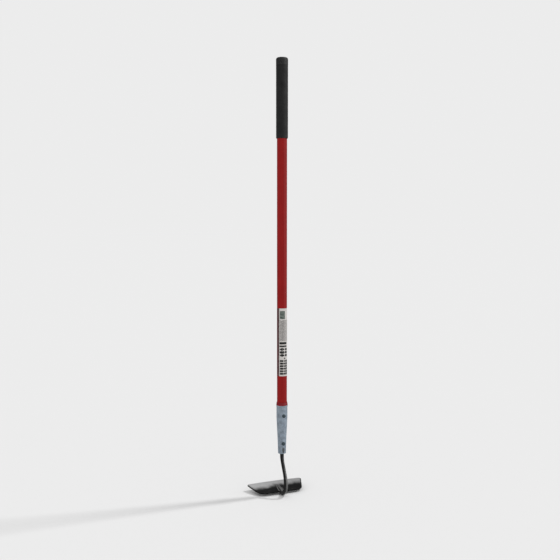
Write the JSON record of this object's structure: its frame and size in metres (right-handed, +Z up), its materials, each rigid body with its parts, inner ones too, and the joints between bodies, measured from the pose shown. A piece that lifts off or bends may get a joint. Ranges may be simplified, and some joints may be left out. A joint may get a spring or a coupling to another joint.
{
  "type": "garden draw hoe",
  "caption": "Long-handled garden draw hoe: flared steel blade welded to a forged goose neck, tapered riveted ferrule, round hollow red handle, black foam grip.",
  "frame": {"origin": "the point on the handle's axis at the height of the heel's lowest point, which is the ground that the tool stands on", "axes": "+Z up along the handle's axis towards the grip, +Y towards the blade's cutting edge, -Y towards the goose neck's bow and the rivet heads, +X across the blade; the tool is symmetric about X = 0 apart from its label"},
  "size_m": [0.1888, 0.1144, 1.388],
  "materials": {
    "fibreglass_tube": "pultruded glass fibre tube with a red surface veil, satin gloss, faint lengthwise grain",
    "hardwood": "turned ash, unfinished",
    "grip_foam": "closed-cell vinyl foam, matte, fine pores",
    "cap_rubber": "moulded soft rubber, matte, dimpled",
    "label_paper": null,
    "ferrule_zinc": "zinc plated, dull, mottled",
    "collar_plastic": "dark red moulded ring, satin",
    "rivet_steel": "dull steel, darkened",
    "neck_lacquer": "black lacquer over forged bar, satin",
    "blade_steel": "black lacquer, scoured to bare steel towards the ground cutting edge",
    "weld_metal": "rippled fillet weld under black lacquer"
  },
  "bodies": {
    "root": {"handle_tube": "fibreglass_tube", "tube_end_plug": "hardwood", "grip_sleeve": "grip_foam", "grip_cap": "cap_rubber", "label": "label_paper", "ferrule": "ferrule_zinc", "collar": "collar_plastic", "core_plug": "hardwood", "upper_rivet": "rivet_steel", "lower_rivet": "rivet_steel", "neck": "neck_lacquer", "blade": "blade_steel", "weld_beads": "weld_metal"}
  },
  "joints": []
}
